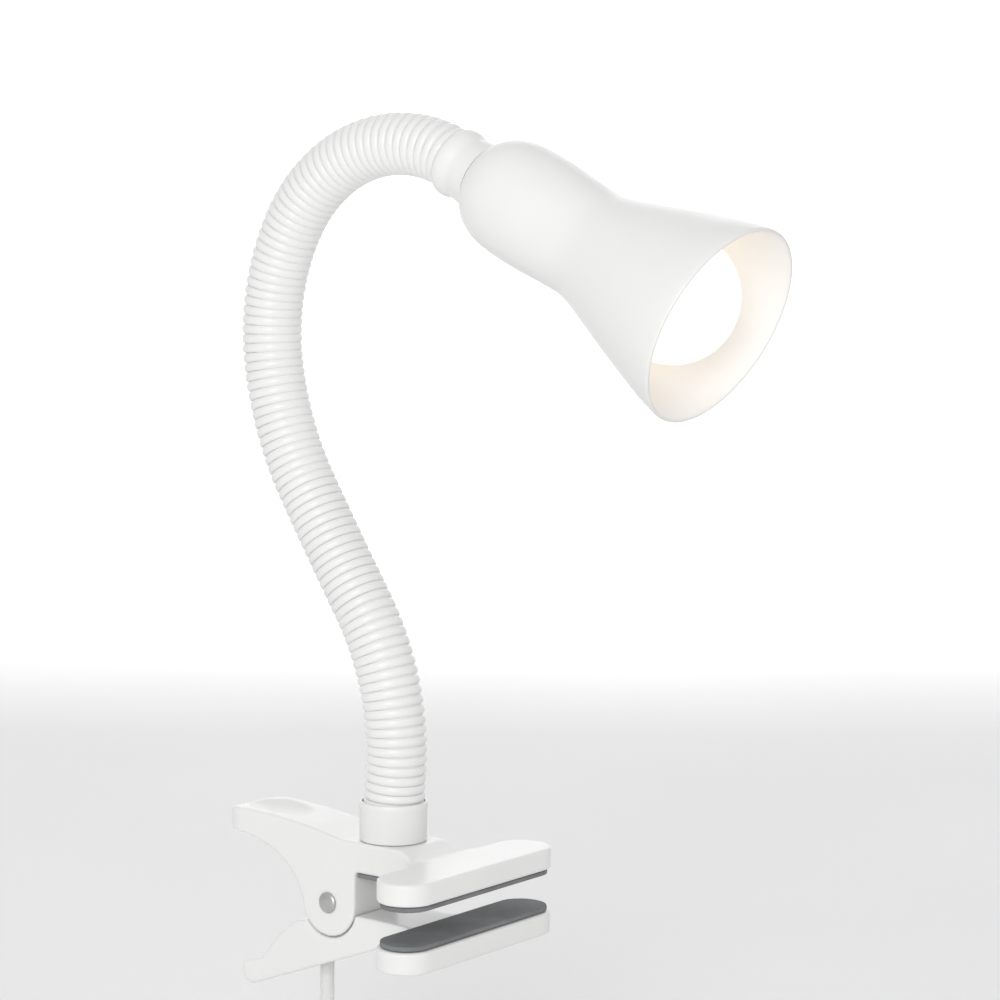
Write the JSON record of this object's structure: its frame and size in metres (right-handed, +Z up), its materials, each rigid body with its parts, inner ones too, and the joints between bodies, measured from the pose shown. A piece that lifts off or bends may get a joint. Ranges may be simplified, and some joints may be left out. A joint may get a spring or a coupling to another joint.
{
  "type": "clip-on reading lamp",
  "caption": "Bell-shaped reading lamp head on a ribbed gooseneck that stands on a two-lever spring clamp, with a corded rocker switch and a plug.",
  "frame": {"origin": "centre of the upper jaw pad's contact face, where it rests on a table top", "axes": "+X the way the jaws and the shade point, +Y across the jaws, +Z up from the table top"},
  "size_m": [0.2305, 0.1125, 0.3754],
  "materials": {
    "white_plastic": "off-white moulded plastic, satin",
    "sleeve_plastic": "off-white ribbed sleeve, satin",
    "pad_rubber": "grey textured rubber",
    "relief_rubber": "white soft rubber",
    "steel": "zinc-plated",
    "brass": "bright",
    "cap_metal": "satin",
    "holder_plastic": "white, heat resistant",
    "ceramic": "glazed ceramic",
    "opal_glass": "opal, warm white",
    "cable_plastic": "white cable sheath"
  },
  "bodies": {
    "clamp_base": {"upper_clamp_arm": "white_plastic", "upper_jaw_pad": "pad_rubber", "pivot_pin": "steel", "torsion_spring_upper_leg": "steel", "cord_strain_relief": "relief_rubber", "clamp_lead_live": "cable_plastic", "clamp_lead_neutral": "cable_plastic", "base_collar": "white_plastic", "neck_base_fitting": "steel", "neck_base_nut": "steel", "neck_sleeve_1": "sleeve_plastic", "gooseneck_core_1": "steel", "neck_lead_1": "cable_plastic", "cord_from_clamp": "cable_plastic", "cord_to_coil": "cable_plastic", "cord_to_plug": "cable_plastic", "cord_coil": "cable_plastic", "switch_lower_housing": "white_plastic", "switch_upper_housing": "white_plastic", "switch_screw_left": "steel", "switch_screw_right": "steel", "plug_body": "white_plastic", "plug_pin_left": "brass", "plug_pin_right": "brass"},
    "lower_jaw": {"lower_clamp_arm": "white_plastic", "lower_jaw_pad": "pad_rubber", "torsion_spring_lower_leg": "steel"},
    "neck_2": {"neck_sleeve_2": "sleeve_plastic", "gooseneck_core_2": "steel", "neck_lead_2": "cable_plastic"},
    "neck_3": {"neck_sleeve_3": "sleeve_plastic", "gooseneck_core_3": "steel", "neck_lead_3": "cable_plastic"},
    "neck_4": {"neck_sleeve_4": "sleeve_plastic", "gooseneck_core_4": "steel", "neck_lead_4": "cable_plastic"},
    "neck_5": {"neck_sleeve_5": "sleeve_plastic", "gooseneck_core_5": "steel", "neck_lead_5": "cable_plastic"},
    "neck_6": {"neck_sleeve_6": "sleeve_plastic", "gooseneck_core_6": "steel", "neck_lead_6": "cable_plastic"},
    "head": {"neck_sleeve_7": "sleeve_plastic", "gooseneck_core_7": "steel", "neck_lead_7": "cable_plastic", "neck_head_fitting": "steel", "shade_ferrule": "white_plastic", "lampshade": "white_plastic", "lampholder_body": "holder_plastic", "lampholder_nut": "steel", "lampholder_insulator": "ceramic", "lampholder_thread_shell": "brass", "lampholder_centre_contact": "brass", "terminal_screw_live": "brass", "terminal_screw_neutral": "brass", "bulb_glass": "opal_glass", "bulb_screw_cap": "cap_metal", "bulb_centre_contact": "brass"},
    "rocker": {"switch_rocker": "white_plastic"}
  },
  "joints": [
    {"name": "lower_bend", "type": "hinge", "parent": "clamp_base", "child": "neck_2", "pos_m": [-0.03266, 0, 0.05266], "axis": [0, 1, 0], "range_deg": [-20, 20]},
    {"name": "lower_swing", "type": "hinge", "parent": "neck_2", "child": "neck_3", "pos_m": [-0.04953, 0, 0.09911], "axis": [0.8297, 0, 0.5581], "range_deg": [-22, 22]},
    {"name": "middle_bend", "type": "hinge", "parent": "neck_3", "child": "neck_4", "pos_m": [-0.07673, 0, 0.14106], "axis": [0, 1, 0], "range_deg": [-20, 20]},
    {"name": "middle_swing", "type": "hinge", "parent": "neck_4", "child": "neck_5", "pos_m": [-0.09284, 0, 0.18901], "axis": [0.9964, 0, 0.085], "range_deg": [-22, 22]},
    {"name": "upper_bend", "type": "hinge", "parent": "neck_5", "child": "neck_6", "pos_m": [-0.08117, 0, 0.23776], "axis": [0, 1, 0], "range_deg": [-20, 20]},
    {"name": "upper_swing", "type": "hinge", "parent": "neck_6", "child": "head", "pos_m": [-0.03922, 0, 0.26369], "axis": [0.1055, 0, -0.9944], "range_deg": [-22, 22]},
    {"name": "clamp_open", "type": "hinge", "parent": "clamp_base", "child": "lower_jaw", "pos_m": [-0.0535, 0, -0.011], "axis": [0, 1, 0], "range_deg": [-9, 28], "stiffness_Nm_per_rad": 1, "springref_deg": -51.57},
    {"name": "switch_rocker_tilt", "type": "hinge", "parent": "clamp_base", "child": "rocker", "pos_m": [-0.052, -0.046, -0.0852], "axis": [0, -1, 0], "range_deg": [0, 20]}
  ],
  "couplings": [
    {"joint": "middle_bend", "follows": "lower_bend", "ratio": 1},
    {"joint": "middle_swing", "follows": "lower_swing", "ratio": 1}
  ]
}
